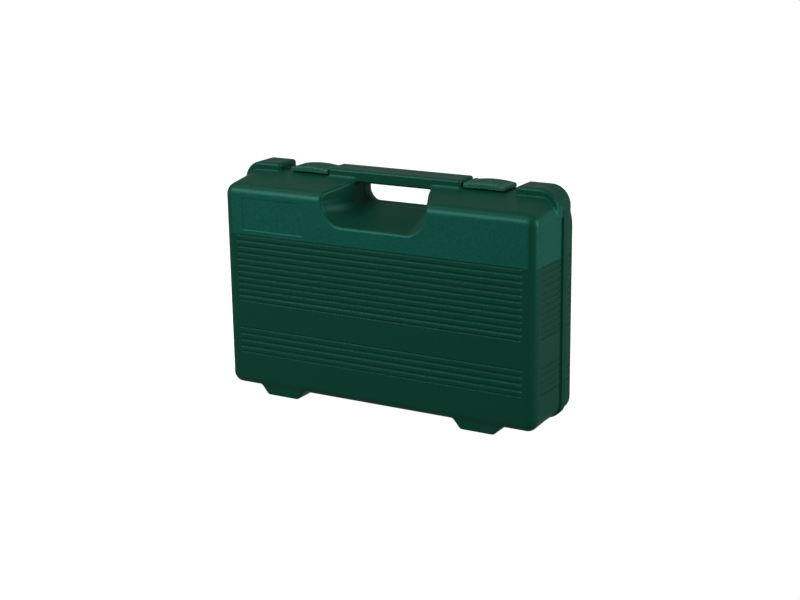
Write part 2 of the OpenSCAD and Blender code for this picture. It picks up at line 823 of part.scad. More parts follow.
// A socket with its mouth towards -Y: hexagon of size s, drive square of the given side
module hex_socket(x, z, s, r, l, side) {
    waist = r > 0.9 * side ? min(r, max(0.87 * side, r - 1.6)) : r;
    color(chrome) translate([x, mouth_y, z]) difference() {
        union() {
            bar_y(0, 0.5 * l, 0, 0, r);
            bar_y(0.5 * l, 0.56 * l, 0, 0, waist - 0.6);
            bar_y(0.56 * l, l, 0, 0, waist);
        }
        translate([0, 0.45 * l, 0]) rotate([90, 0, 0]) cylinder(h = l, r = s / sqrt(3), $fn = 6);
        bar_y(0.4 * l, l, 0, 0, min(s, side) * 0.42);
        block([-side / 2, l - 1.2 * side, -side / 2], [side / 2, l + 1, side / 2]);
    }
}

module small_sockets() {
    for (i = [0:len(SMALL_SIZES) - 1]) {
        s = SMALL_SIZES[i];
        hex_socket(small_socket_x(i), row_small_sockets, s, small_socket_r(s), small_length,
                   small_drive);
    }
}

front_shell();
rear_shell();
left_latch();
right_latch();
hinge_pins();
tray_panel();
tray_sides();
tray_rails();
tray_spacers();
foam_pad();
for (p = RATCHET_PARTS) {
    ratchet_part(p, big_place, 1, drive);
    ratchet_part(p, small_place, small_scale, small_drive);
}
long_extension();
short_extension();
small_extension();
joint_socket_yoke();
joint_cross();
joint_square_yoke();
slide_bar();
slide_head();
spinner_grip();
spinner_shank();
adapter();
plug_socket();
plug_socket_insert();
small_sockets();
for (i = [0:len(SIZES) - 1]) {
    hex_socket(socket_x(i), socket_z(i), SIZES[i], socket_r(SIZES[i]), socket_l(SIZES[i]), drive);
}
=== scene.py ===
"""Looks of a socket wrench set in its moulded case: shells, latches, foam, tray and plated tools,
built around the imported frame. Shapes are worked out in millimetres and become metres at the end."""
import json
import math

import bpy
import numpy as np
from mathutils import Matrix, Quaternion, Vector


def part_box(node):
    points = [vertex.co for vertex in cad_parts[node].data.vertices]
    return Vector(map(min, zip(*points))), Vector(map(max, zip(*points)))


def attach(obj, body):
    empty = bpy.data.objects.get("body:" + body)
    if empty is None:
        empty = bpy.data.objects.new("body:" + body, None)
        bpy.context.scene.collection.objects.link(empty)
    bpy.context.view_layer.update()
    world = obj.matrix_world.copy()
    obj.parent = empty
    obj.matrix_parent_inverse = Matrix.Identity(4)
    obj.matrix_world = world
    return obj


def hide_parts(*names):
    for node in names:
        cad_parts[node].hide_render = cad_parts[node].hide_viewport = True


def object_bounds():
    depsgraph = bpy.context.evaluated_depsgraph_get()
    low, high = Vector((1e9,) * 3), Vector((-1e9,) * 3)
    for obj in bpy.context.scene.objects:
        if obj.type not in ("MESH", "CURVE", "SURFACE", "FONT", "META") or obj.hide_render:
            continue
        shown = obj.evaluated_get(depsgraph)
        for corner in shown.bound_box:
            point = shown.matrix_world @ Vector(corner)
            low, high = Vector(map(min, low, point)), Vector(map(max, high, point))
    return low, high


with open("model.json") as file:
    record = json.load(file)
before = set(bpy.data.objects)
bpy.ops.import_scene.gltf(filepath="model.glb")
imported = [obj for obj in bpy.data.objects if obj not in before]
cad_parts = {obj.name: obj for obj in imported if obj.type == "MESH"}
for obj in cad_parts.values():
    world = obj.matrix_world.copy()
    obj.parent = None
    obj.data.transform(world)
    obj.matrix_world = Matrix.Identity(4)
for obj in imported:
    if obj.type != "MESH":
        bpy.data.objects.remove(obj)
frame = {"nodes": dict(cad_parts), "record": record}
CAD_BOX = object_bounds()

MM = 0.001
JOINTS = {j["name"]: j for j in frame["record"]["behaviour"]["joints"]}


def mm_box(node):
    """A CAD node's lowest and highest corners, in millimetres."""
    low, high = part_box(node)
    return np.array(low) / MM, np.array(high) / MM


# Planes and levels of the case, from the frame
FRONT_Y, BACK_Y = CAD_BOX[0].y / MM, CAD_BOX[1].y / MM
RIM_HALF, TOP_Z = CAD_BOX[1].x / MM, CAD_BOX[1].z / MM
PART_Y = JOINTS["lid_hinge"]["pos_m"][1] / MM
HINGE_Z = JOINTS["lid_hinge"]["pos_m"][2] / MM
SEAM = 0.15
BASE_Z = 10
SEAM_HALF = RIM_HALF - 2
FRONT_HALF = RIM_HALF - 5
BACK_HALF = RIM_HALF - 4
LEDGE_Z = TOP_Z - 9
LEDGE_Y = PART_Y - 21
REAR_LEDGE_Y = PART_Y + 17
HANDLE_BACK_Y = PART_Y + 14
HANDLE_HALF = 90
BLOCK_X = 160
FINGER_HALF = 52
HOLE_TOP_Z = TOP_Z - 15
WALL = 3

# Slopes from the front and rear faces up to the ledges, as (y, z) ends
FRONT_SLOPE = (FRONT_Y + 6.5, 264.5, LEDGE_Y, 274)
REAR_SLOPE = (REAR_LEDGE_Y, LEDGE_Z, BACK_Y - 5, 263.7)

# Radii: the outline's corners at the front face, the edges round the two faces, and how much rounder
# the lower and upper corners are at the parting line
OUTLINE_R = 13
FACE_R, BACK_R = 10, 11
FOOT_EXTRA, TOP_EXTRA = 5, 8

# Recess: its floor at the front face and on its crest
RECESS_Z = 226
CREST_Z = 245

# Ribbed fields as (lowest z, highest z, number of ribs), and where they end across the faces
RIB_FIELDS = [(118.5, 203, 11), (52, 85, 4)]
RIB_DEPTH = 1.3
RIB_END = 192
RIM_GROOVE = 1.3
LABEL_X, LABEL_Z = (-184, -98), (209, 249)
LABEL_DEPTH = 0.7

# Flange along the parting line: how far it goes to each side, its rise, its top, and its notches
FLANGE_REACH = 6
FLANGE_RISE = 1.7
FLANGE_TOP_Z = 263
NOTCH_DEPTH = 1.7

# A foot's ends, at the floor and where they meet the shell
FOOT_FLAT = (113, 157)
FOOT_ROOT = (104, 166)
ROOT_Z = 11

# Latch: its tongue, the fall of its arched top, the pitch of its ridges, and the room left between a
# slid latch and the fillet of the corner block
TONGUE_X = (112, 128)
ARCH = 2.6
RIDGE_PITCH = 5.2
END_GAP = 2.4

# Hinge: length of a pin, width of the lid's knuckle and its gap to the two beside it, and radii of
# the knuckles and their bores
PIN_L = 44
LEAF_W = 19
LEAF_GAP = 0.5
KNUCKLE_R = 4.2
BORE_R = 1.56


# Rounded solids as distance fields: negative inside, in millimetres

def both(a, b, r):
    """What is inside a and b, with its edge rounded to radius r."""
    return np.minimum(-r, np.maximum(a, b)) + np.hypot(np.maximum(a + r, 0), np.maximum(b + r, 0))


def either(a, b, r):
    """What is inside a or b, with a fillet of radius r."""
    return np.maximum(r, np.minimum(a, b)) - np.hypot(np.maximum(r - a, 0), np.maximum(r - b, 0))


def step(lo, hi, v):
    """A smooth step from 0 at lo to 1 at hi."""
    t = np.clip((v - lo) / (hi - lo), 0, 1)
    return t * t * (3 - 2 * t)


def window(v, lo, hi, soft):
    """1 from lo to hi and 0 elsewhere, smooth over soft on each side of both ends."""
    return step(lo - soft, lo + soft, v) * (1 - step(hi - soft, hi + soft, v))


def slab(v, lo, hi):
    """Distance to the space between two planes."""
    return np.abs(v - (lo + hi) / 2) - (hi - lo) / 2


def brick(x, y, z, low, high, r):
    """A box with all its edges rounded."""
    d = both(slab(x, low[0], high[0]), slab(y, low[1], high[1]), r)
    return both(d, slab(z, low[2], high[2]), r)


def plane(u, v, u0, v0, u1, v1):
    """Signed distance left of the line from point 0 to point 1, positive on its left."""
    du, dv = u1 - u0, v1 - v0
    return (du * (v - v0) - dv * (u - u0)) / math.hypot(du, dv)


def half_width(y):
    """Half width of the case at depth y: widest at the parting plane."""
    front = SEAM_HALF - (SEAM_HALF - FRONT_HALF) * (PART_Y - y) / (PART_Y - FRONT_Y)
    back = SEAM_HALF - (SEAM_HALF - BACK_HALF) * (y - PART_Y) / (BACK_Y - PART_Y)
    return np.where(y < PART_Y, front, back)


def body_field(x, y, z):
    """The plain closed case, with no ribs, recess or feet."""
    side = np.abs(x) - half_width(y)
    top = both(both(plane(y, z, *FRONT_SLOPE), z - LEDGE_Z, 2), plane(y, z, *REAR_SLOPE), 4)
    near = step(FRONT_Y, LEDGE_Y, y)
    outline = both(side, BASE_Z - z, OUTLINE_R + FOOT_EXTRA * near)
    outline = both(outline, top, OUTLINE_R + TOP_EXTRA * near)
    return both(both(outline, FRONT_Y - y, FACE_R), y - BACK_Y, BACK_R)


def groove_field(z, low, high, count):
    """Depth of one field's grooves, from 0 on a rib's crest to 1 in a groove."""
    wave = -np.cos(2 * math.pi * ((z - low) / (high - low) * count - 0.5))
    inside = step(low - 0.5, low + 0.3, z) * (1 - step(high - 0.3, high + 0.5, z))
    return step(-0.1, 0.7, wave) * inside


def grooves(z):
    """Depth of the grooves of both ribbed fields."""
    return sum(groove_field(z, *f) for f in RIB_FIELDS)


def relief(x, y, z):
    """How far the outer face is sunk: ribbed fields, the label field and the groove behind the rim."""
    ax = np.abs(x)
    on_front = 1 - step(-20, -14, y)
    on_back = step(20, 26, y)
    face = (1 - step(RIB_END - 3, RIB_END + 3, ax)) * (on_back + on_front)
    lid_side = step(FRONT_Y + 12, FRONT_Y + 16, y) * (1 - step(PART_Y - 11, PART_Y - 9.6, y))
    rear_side = step(PART_Y + 8.5, PART_Y + 10, y) * (1 - step(BACK_Y - 11, BACK_Y - 7, y))
    flank = step(200, 205, ax) * (lid_side + rear_side)
    label = window(x, *LABEL_X, 0.7) * window(z, *LABEL_Z, 0.6) * on_front
    rim = window(y, PART_Y - 9, PART_Y - 6.6, 0.4)
    return RIB_DEPTH * grooves(z) * np.clip(face + flank, 0, 1) + LABEL_DEPTH * label + RIM_GROOVE * rim


def recess_field(x, y, z):
    """The scoop under the handle, with the finger hole, open at the top."""
    depth = step(FRONT_Y - 10, LEDGE_Y + 4, y) * (1 - step(HANDLE_BACK_Y - 2, BACK_Y + 14, y))
    open_half = 67 + 0.2 * np.clip(z - RECESS_Z - 3, 0, 26)
    width = FINGER_HALF + (open_half - FINGER_HALF) * (1 - depth)
    front = np.clip((y - FRONT_Y) / (PART_Y + 7 - FRONT_Y), -0.3, 1)
    rear = np.clip((y - PART_Y - 7) / (BACK_Y - PART_Y - 7), 0, 1.5)
    floor = RECESS_Z + (CREST_Z - RECESS_Z) * np.sign(front) * np.abs(front) ** 1.25 - 10 * rear ** 1.6
    return both(np.abs(x) - width, (floor - z) * 0.94, 14 + 9 * (1 - depth))


def feet_field(x, y, z):
    """Four feet, two on each shell."""
    ax = np.abs(x)
    inner_end = plane(ax, z, FOOT_FLAT[0], 0, FOOT_ROOT[0], ROOT_Z)
    outer_end = plane(ax, z, FOOT_ROOT[1], ROOT_Z, FOOT_FLAT[1], 0)
    ends = both(inner_end, outer_end, 1)
    across = np.minimum(slab(y, FRONT_Y + 2, PART_Y - 1), slab(y, PART_Y + 6.5, BACK_Y - 6))
    return both(both(both(ends, across, 2), -z, 1.6), z - BASE_Z - 6, 1)


def raised_field(x, y, z):
    """What stands above the ledge: the handle bar and the corner blocks."""
    ax = np.abs(x)
    bar_low = (-HANDLE_HALF, LEDGE_Y, HOLE_TOP_Z)
    bar = brick(x, y, z, bar_low, (HANDLE_HALF, HANDLE_BACK_Y, TOP_Z), 3.2)
    outline = both(both(ax - SEAM_HALF - 0.5, z - TOP_Z + 0.6, 24), BLOCK_X - ax, 4)
    block = both(both(outline, slab(y, LEDGE_Y, REAR_LEDGE_Y), 4), 250 - z, 2)
    return bar, block


def flange_field(x, y, z):
    """The rim that stands proud beside the parting line."""
    outline = both(np.abs(x) - SEAM_HALF, BASE_Z - z, OUTLINE_R + FOOT_EXTRA)
    notches = grooves(z) * step(PART_Y + 1, PART_Y + 2.2, y)
    reach = slab(y, PART_Y - FLANGE_REACH, PART_Y + FLANGE_REACH)
    ring = both(outline - FLANGE_RISE + NOTCH_DEPTH * notches, reach, 1.1)
    return both(both(ring, z - FLANGE_TOP_Z, 3), -outline - 2, 0.5)


def case_field(x, y, z):
    """The whole moulded case, closed."""
    plain = body_field(x, y, z)
    recess = recess_field(x, y, z)
    outer = both(plain + relief(x, y, z), -recess, 3.5)
    bar, block = raised_field(x, y, z)
    outer = either(either(outer, bar, 4.5), block, 2)
    outer = either(either(outer, feet_field(x, y, z), 2.5), flange_field(x, y, z), 0.5)
    cavity = np.maximum(np.maximum(plain + WALL, WALL - recess), z - LEDGE_Z + WALL)
    return np.maximum(outer, -cavity)


def front_field(x, y, z):
    """The deep half of the case, in front of the seam."""
    return both(case_field(x, y, z), y - PART_Y + SEAM, 0.8)


def rear_field(x, y, z):
    """The shallow half of the case, behind the seam."""
    return both(case_field(x, y, z), PART_Y + SEAM - y, 0.8)


def grid_lines(*stops):
    """Grid positions from (position, step) pairs: each step runs from its position to the next."""
    lines = []
    for (a, s), (b, _) in zip(stops, stops[1:]):
        lines += list(np.linspace(a, b, max(int(round((b - a) / s)), 1), endpoint=False))
    return np.array(lines + [stops[-1][0]])


def mirrored_lines(*stops):
    """The same grid positions on both sides of 0."""
    right = grid_lines(*stops)
    return np.concatenate([-right[:0:-1], right])


def surface(field, xs, ys, zs):
    """Surface net of a field on a grid: points pulled onto the surface, their normals, and quads."""
    X, Y, Z = xs[:, None, None], ys[None, :, None], zs[None, None, :]
    d = np.broadcast_to(field(X, Y, Z), (len(xs), len(ys), len(zs))).astype(np.float64)
    inside = d < 0
    shape = tuple(n - 1 for n in d.shape)
    total = np.zeros(shape + (3,))
    count = np.zeros(shape)
    lines = (xs, ys, zs)
    faces = []
    index = np.full(shape, -1, np.int64)
    crossings = []
    for a in range(3):
        lo = [slice(None)] * 3
        hi = [slice(None)] * 3
        lo[a], hi[a] = slice(0, -1), slice(1, None)
        d0, d1 = d[tuple(lo)], d[tuple(hi)]
        cross = inside[tuple(lo)] != inside[tuple(hi)]
        t = np.where(cross, d0 / np.where(cross, d0 - d1, 1), 0)
        coords = [v.reshape([-1 if i == k else 1 for i in range(3)]) for k, v in enumerate(lines)]
        start = coords[a][tuple(slice(0, -1) if i == a else slice(None) for i in range(3))]
        size = np.diff(lines[a]).reshape([-1 if i == a else 1 for i in range(3)])
        point = [np.broadcast_to(c, d0.shape) if k != a else start + t * size
                 for k, c in enumerate(coords)]
        b, c = [k for k in range(3) if k != a]
        for ob in (0, 1):
            for oc in (0, 1):
                pick = [slice(None)] * 3
                pick[b] = slice(ob, ob + shape[b])
                pick[c] = slice(oc, oc + shape[c])
                on = cross[tuple(pick)]
                count += on
                for k in range(3):
                    total[..., k] += np.where(on, point[k][tuple(pick)], 0)
        crossings.append((a, b, c, cross, inside[tuple(lo)]))
    used = count > 0
    index[used] = np.arange(used.sum())
    points = total[used] / count[used][:, None]
    for a, b, c, cross, start_inside in crossings:
        inner = [slice(None)] * 3
        inner[b] = slice(1, -1)
        inner[c] = slice(1, -1)
        at = np.argwhere(cross[tuple(inner)])
        flip = start_inside[tuple(inner)][tuple(at.T)]
        corners = []
        for ob, oc in ((0, 0), (1, 0), (1, 1), (0, 1)):
            cell = at.copy()
            cell[:, b] += ob
            cell[:, c] += oc
            corners.append(index[tuple(cell.T)])
        quads = np.stack(corners, 1)
        if a == 1:
            quads = quads[:, ::-1]
        quads[~flip] = quads[~flip][:, ::-1]
        faces.append(quads)
    return settle(field, points) + (np.concatenate(faces),)


def gradient(field, p, h=0.05):
    """Slope of a field at points p, by central differences of reach h."""
    g = np.empty_like(p)
    for k in range(3):
        e = np.zeros(3)
        e[k] = h
        g[:, k] = (field(*(p + e).T) - field(*(p - e).T)) / (2 * h)
    return g


def settle(field, points, reach=0.5, rounds=2):
    """Pulls points onto a field's surface along its gradient, and gives their unit normals."""
    for _ in range(rounds):
        g = gradient(field, points)
        pull = field(*points.T) / np.maximum((g ** 2).sum(1), 0.25)
        points = points - g * np.clip(pull, -reach, reach)[:, None]
    g = gradient(field, points)
    return points, g / np.maximum(np.linalg.norm(g, axis=1), 1e-9)[:, None]


def mesh_object(name, parts):
    """One smooth object from (points in mm, normals, quads) parts."""
    points = np.concatenate([p for p, _, _ in parts]) * MM
    normals = np.concatenate([n for _, n, _ in parts])
    offsets = np.cumsum([0] + [len(p) for p, _, _ in parts])
    quads = np.concatenate([q + o for (_, _, q), o in zip(parts, offsets)])
    mesh = bpy.data.meshes.new(name)
    mesh.from_pydata(points.tolist(), [], quads.tolist())
    mesh.polygons.foreach_set("use_smooth", np.ones(len(quads), bool))
    mesh.normals_split_custom_set_from_vertices(normals.tolist())
    mesh.update()
    obj = bpy.data.objects.new(name, mesh)
    bpy.context.collection.objects.link(obj)
    return obj


# The case

CASE_X = mirrored_lines((0, 6), (42, 1.3), (102, 4.5), (154, 1.6), (164, 3), (184, 1.2),
                        (RIM_HALF + 2, 1))
CASE_Z = grid_lines((-2, 1.2), (16, 4), (49, 0.8), (87, 4), (113, 0.8), (207, 1.2), (TOP_Z + 2, 1))
FRONT_LINES = grid_lines((FRONT_Y - 2, 1.1), (FRONT_Y + 13, 2.4), (PART_Y - 12, 0.7), (PART_Y + 2, 1))
REAR_LINES = grid_lines((PART_Y - 2, 0.7), (PART_Y + 12, 2.2), (BACK_Y - 13, 1.1), (BACK_Y + 2, 1))


def knuckle_field(side, x0, x1):
    """A hinge knuckle from x0 to x1, bored for the pin, with its web up to the shell on one side."""
    def field(x, y, z):
        radius = np.hypot(y - PART_Y, z - HINGE_Z)
        web_y = slab(y - PART_Y, *sorted((side * 0.3, side * KNUCKLE_R)))
        web = both(web_y, slab(z, HINGE_Z, BASE_Z + 1.5), 0.4)
        d = both(either(radius - KNUCKLE_R, web, 1), slab(x, x0, x1), 0.5)
        return np.maximum(d, BORE_R - radius)

    return field


def leaf_parts(side, ends):
    """Hinge knuckles between pairs of ends, as parts to join to the shell on that side."""
    parts = []
    for x0, x1 in ends:
        xs = grid_lines((x0 - 1, 0.6), (x0 + 2, 4), (x1 - 2, 0.6), (x1 + 1, 1))
        ys = grid_lines((PART_Y - 5.5, 0.55), (PART_Y + 5.5, 1))
        zs = grid_lines((0, 0.55), (BASE_Z + 2.5, 1))
        parts.append(surface(knuckle_field(side, x0, x1), xs, ys, zs))
    return parts


def make_shells():
    """Both shells, each with its leaves of the two hinges."""
    hinge_x = mm_box("hinge_pins")[1][0] - PIN_L / 2
    lid_ends = [(s * hinge_x - LEAF_W / 2, s * hinge_x + LEAF_W / 2) for s in (-1, 1)]
    outer_w = (PIN_L - LEAF_W) / 2 - LEAF_GAP
    base_ends = []
    for s in (-1, 1):
        for e in (-1, 1):
            mid = s * hinge_x + e * (PIN_L - outer_w) / 2
            base_ends.append((mid - outer_w / 2, mid + outer_w / 2))
    front_parts = [surface(front_field, CASE_X, FRONT_LINES, CASE_Z)]
    front = mesh_object("front_shell_moulding", front_parts + leaf_parts(-1, lid_ends))
    rear_parts = [surface(rear_field, CASE_X, REAR_LINES, CASE_Z)]
    rear = mesh_object("rear_shell_moulding", rear_parts + leaf_parts(1, base_ends))
    finish_piece(front, "lid", green_plastic(), "front_shell")
    finish_piece(rear, "root", green_plastic(), "rear_shell")


def latch_field(side):
    """A slide latch: arched plate with cross ridges, an end lip and its tongue."""
    low, high = mm_box("right_latch")
    x0, x1 = low[0], high[0] - END_GAP
    y0, y1 = low[1], high[1]
    plate_z = LEDGE_Z + 0.3

    def field(x, y, z):
        x = x * side
        sag = ARCH * ((x - (x0 + x1) / 2) / ((x1 - x0) / 2)) ** 2
        plate = brick(x, y, z + sag, (x0, y0, plate_z), (x1, y1, TOP_Z - 1.4), 1.8)
        plate = both(plate, plate_z - z, 0.6)
        wave = np.cos(2 * math.pi * (x - x0 - 9) / RIDGE_PITCH)
        along = window(x, x0 + 7, x1 - 7, 1)
        across = 1 - step(12, 14, np.abs(y - (y0 + y1) / 2))
        ridged = plate + along * across * (1.0 - 1.1 * step(-0.2, 0.6, wave))
        lip = brick(x, y, z, (x0, y0 + 1, plate_z), (x0 + 4, y1 - 1, TOP_Z - 2.4), 1.5)
        tongue = brick(x, y, z, (TONGUE_X[0], PART_Y + 7.5, LEDGE_Z - 6.8),
                       (TONGUE_X[1], PART_Y + 11.5, LEDGE_Z + 2), 0.5)
        return either(either(ridged, lip, 1), tongue, 0.5)

    return field


def make_latches():
    """The two slide latches, mirror images of each other."""
    low, high = mm_box("right_latch")
    ys = grid_lines((low[1] - 1, 0.9), (high[1] + 1, 1))
    zs = grid_lines((LEDGE_Z - 8, 0.7), (TOP_Z + 1, 1))
    for side, name in ((-1, "left_latch"), (1, "right_latch")):
        xs = np.sort(grid_lines((low[0] - 1, 0.7), (high[0] + 1, 1)) * side)
        latch = mesh_object(name + "_slide", [surface(latch_field(side), xs, ys, zs)])
        finish_piece(latch, name, latch_plastic(), name)


def make_foam():
    """Egg-crate foam: a closed slab whose face swells in rows of peaks."""
    low, high = mm_box("foam_pad")
    pitch, swell = 26, 11
    notch_half, notch_z = 79, 212

    def field(x, y, z):
        wave = np.sin(2 * math.pi * x / pitch) * np.sin(2 * math.pi * z / pitch)
        face = high[1] - swell * (0.5 - 0.5 * wave)
        slab_d = both(both(slab(x, low[0], high[0]), slab(z, low[2], high[2]), 10), low[1] + 0.5 - y, 2)
        d = both(slab_d, (y - face) * 0.72, 3)
        return both(d, -both(np.abs(x) - notch_half, notch_z - z, 4), 3)

    xs = grid_lines((low[0] - 2, 3.2), (high[0] + 2, 1))
    ys = grid_lines((low[1] - 1, 5), (high[1] - swell - 6, 2), (high[1] + 2, 1))
    zs = grid_lines((low[2] - 2, 3.2), (high[2] + 2, 1))
    foam = mesh_object("egg_crate_foam", [surface(field, xs, ys, zs)])
    finish_piece(foam, "lid", foam_material(), "foam_pad")


def finish_piece(obj, body, material, node):
    """Gives a piece its material, hides the CAD node it stands for, and hangs it on its body."""
    obj.data.materials.clear()
    obj.data.materials.append(material)
    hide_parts(node)
    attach(obj, body)


# Materials

CASE_LOWER = (0.0034, 0.046, 0.027)
# Upper field colour: partly painted sheen of light from above, partly the coarser grain's own tone
CASE_UPPER_GRAIN_AND_SHEEN = (0.0052, 0.074, 0.054)
CASE_SHEEN = (0.25, 0.95, 0.8, 1)
LATCH_SPECK = (0.03, 0.13, 0.085)


def new_material(name):
    """A material with its tree and shader, or the existing one of that name with neither."""
    if name in bpy.data.materials:
        return bpy.data.materials[name], None, None
    mat = bpy.data.materials.new(name)
    mat.use_nodes = True
    return mat, mat.node_tree, mat.node_tree.nodes["Principled BSDF"]


def add_node(tree, kind, inputs=None, **settings):
    """A shader node whose inputs are linked to sockets or set to plain values."""
    n = tree.nodes.new(kind)
    for k, v in settings.items():
        setattr(n, k, v)
    for k, v in (inputs or {}).items():
        if isinstance(v, bpy.types.NodeSocket):
            tree.links.new(v, n.inputs[k])
        else:
            n.inputs[k].default_value = v
    return n


def grain(tree, scale, detail=2.0, rough=0.5):
    """Noise on the object's own coordinates, in metres."""
    coords = add_node(tree, "ShaderNodeTexCoord")
    return add_node(tree, "ShaderNodeTexNoise", {"Vector": coords.outputs["Object"], "Scale": scale,
                                                 "Detail": detail, "Roughness": rough})


def ramp(tree, source, stops):
    """A colour ramp fed by source, from (position, colour) stops."""
    n = add_node(tree, "ShaderNodeValToRGB", {"Fac": source})
    elements = n.color_ramp.elements
    while len(elements) < len(stops):
        elements.new(0.5)
    for e, (pos, col) in zip(elements, stops):
        e.position = pos
        e.color = col if len(col) == 4 else (*col, 1)
    return n.outputs["Color"]


def span(tree, source, low, high):
    """Source, which runs from 0 to 1, spread from low to high."""
    n = add_node(tree, "ShaderNodeMapRange", {"Value": source, "To Min": low, "To Max": high})
    return n.outputs["Result"]


def bump(tree, bsdf, height, strength, distance):
    """Fine relief on the shader's normal."""
    n = add_node(tree, "ShaderNodeBump", {"Height": height, "Strength": strength, "Distance": distance})
    tree.links.new(n.outputs["Normal"], bsdf.inputs["Normal"])


def tinted(tree, source, colour, spread):
    """Colour that wavers about a mean with a noise."""
    low = tuple(c * (1 - spread) for c in colour)
    high = tuple(c * (1 + spread) for c in colour)
    return ramp(tree, source, [(0.3, low), (0.7, high)])


def between(tree, value, a, b):
    """0 at a, 1 at b, in metres."""
    n = add_node(tree, "ShaderNodeMapRange", {"Value": value, "From Min": a * MM, "From Max": b * MM})
    return n.outputs["Result"]


def combined(tree, operation, a, b):
    """The result of one maths operation on two sockets."""
    return add_node(tree, "ShaderNodeMath", {0: a, 1: b}, operation=operation).outputs["Value"]


def grain_and_sheen_field(tree):
    """1 on the flat upper fields of the front face and of both sides, 0 elsewhere: where the grain is
    coarser and the colour is painted paler as a sheen of light from above.
    """
    coords = add_node(tree, "ShaderNodeTexCoord")
    split = add_node(tree, "ShaderNodeSeparateXYZ", {"Vector": coords.outputs["Object"]})
    x, y, z = (split.outputs[k] for k in "XYZ")
    across = add_node(tree, "ShaderNodeMath", {0: x}, operation="ABSOLUTE").outputs["Value"]
    front = combined(tree, "MULTIPLY", between(tree, y, FRONT_Y + 2, FRONT_Y + 0.8),
                     between(tree, across, 202, 199))
    flank = combined(tree, "MULTIPLY", between(tree, across, FRONT_HALF - 2.5, FRONT_HALF - 1),
                     between(tree, y, PART_Y - 8, PART_Y - 9))
    height = combined(tree, "MULTIPLY", between(tree, z, 202.5, 204), between(tree, z, 266, 262))
    return combined(tree, "MULTIPLY", combined(tree, "MAXIMUM", front, flank), height)


def green_plastic():
    """Moulded case plastic: fine spark-eroded grain, coarser on the upper field. The upper field's
    paler colour is partly painted sheen of light from above and partly the coarser grain's own tone.
    """
    mat, tree, bsdf = new_material("case_green")
    if not tree:
        return mat
    upper = grain_and_sheen_field(tree)
    fine = grain(tree, 900, 3)
    coarse = grain(tree, 420, 2)
    # Paler colour of the upper field: painted sheen of light from above, partly the grain's own tone
    grain_and_sheen_colour = tinted(tree, coarse.outputs["Fac"], CASE_UPPER_GRAIN_AND_SHEEN, 0.16)
    plain = tinted(tree, fine.outputs["Fac"], CASE_LOWER, 0.15)
    colour = add_node(tree, "ShaderNodeMix", {0: upper, 6: plain, 7: grain_and_sheen_colour}, data_type="RGBA")
    tree.links.new(colour.outputs[2], bsdf.inputs["Base Color"])
    tree.links.new(span(tree, coarse.outputs["Fac"], 0.3, 0.46), bsdf.inputs["Roughness"])
    peel = add_node(tree, "ShaderNodeMix", {0: upper, 2: fine.outputs["Fac"], 3: coarse.outputs["Fac"]})
    bump(tree, bsdf, peel.outputs[0], 0.35, 0.0003)
    bsdf.inputs["Specular IOR Level"].default_value = 0.24
    bsdf.inputs["Specular Tint"].default_value = CASE_SHEEN
    return mat


def latch_plastic():
    """The case's green with a bright speckle."""
    mat, tree, bsdf = new_material("latch_green")
    if not tree:
        return mat
    fine = grain(tree, 900, 2)
    colour = ramp(tree, fine.outputs["Fac"], [(0.4, CASE_LOWER), (0.62, LATCH_SPECK)])
    tree.links.new(colour, bsdf.inputs["Base Color"])
    tree.links.new(span(tree, fine.outputs["Fac"], 0.3, 0.5), bsdf.inputs["Roughness"])
    bump(tree, bsdf, fine.outputs["Fac"], 0.6, 0.0004)
    bsdf.inputs["Specular IOR Level"].default_value = 0.3
    bsdf.inputs["Specular Tint"].default_value = CASE_SHEEN
    return mat


def foam_material():
    """Grey open-cell foam."""
    mat, tree, bsdf = new_material("open_cell_foam")
    if not tree:
        return mat
    cells = grain(tree, 1100, 4, 0.65)
    tone = grain(tree, 30, 2)
    mixed = combined(tree, "MULTIPLY", cells.outputs["Fac"], tone.outputs["Fac"])
    colour = ramp(tree, mixed, [(0.1, (0.02, 0.02, 0.022)), (0.45, (0.1, 0.1, 0.105))])
    tree.links.new(colour, bsdf.inputs["Base Color"])
    bsdf.inputs["Roughness"].default_value = 0.95
    bsdf.inputs["Sheen Weight"].default_value = 0.25
    bump(tree, bsdf, cells.outputs["Fac"], 0.9, 0.0008)
    return mat


def tray_material():
    """Black plastic with a fine matt grain."""
    mat, tree, bsdf = new_material("tray_black")
    if not tree:
        return mat
    fine = grain(tree, 1500, 2)
    blotch = grain(tree, 20, 3)
    tones = [(0.3, (0.012, 0.012, 0.013)), (0.7, (0.022, 0.022, 0.024))]
    colour = ramp(tree, blotch.outputs["Fac"], tones)
    tree.links.new(colour, bsdf.inputs["Base Color"])
    tree.links.new(span(tree, fine.outputs["Fac"], 0.42, 0.62), bsdf.inputs["Roughness"])
    bump(tree, bsdf, fine.outputs["Fac"], 0.4, 0.0003)
    return mat


def metal(name, colour, dark, low, high, scale, lines):
    """Plated or bare steel: slight tone changes, roughness that varies, and faint turning lines."""
    mat, tree, bsdf = new_material(name)
    if not tree:
        return mat
    cloud = grain(tree, scale, 4)
    tint = ramp(tree, cloud.outputs["Fac"], [(0.3, dark), (0.7, colour)])
    tree.links.new(tint, bsdf.inputs["Base Color"])
    tree.links.new(span(tree, cloud.outputs["Fac"], low, high), bsdf.inputs["Roughness"])
    bsdf.inputs["Metallic"].default_value = 1.0
    bump(tree, bsdf, grain(tree, lines, 2).outputs["Fac"], 0.12, 0.0001)
    return mat


def chrome():
    """Satin plating, for the tools."""
    return metal("satin_chrome", (0.86, 0.87, 0.88), (0.72, 0.73, 0.75), 0.12, 0.26, 60, 2500)


def steel():
    """Bare steel, for pins, gears and screws."""
    return metal("bare_steel", (0.52, 0.52, 0.53), (0.36, 0.36, 0.37), 0.3, 0.5, 90, 1800)


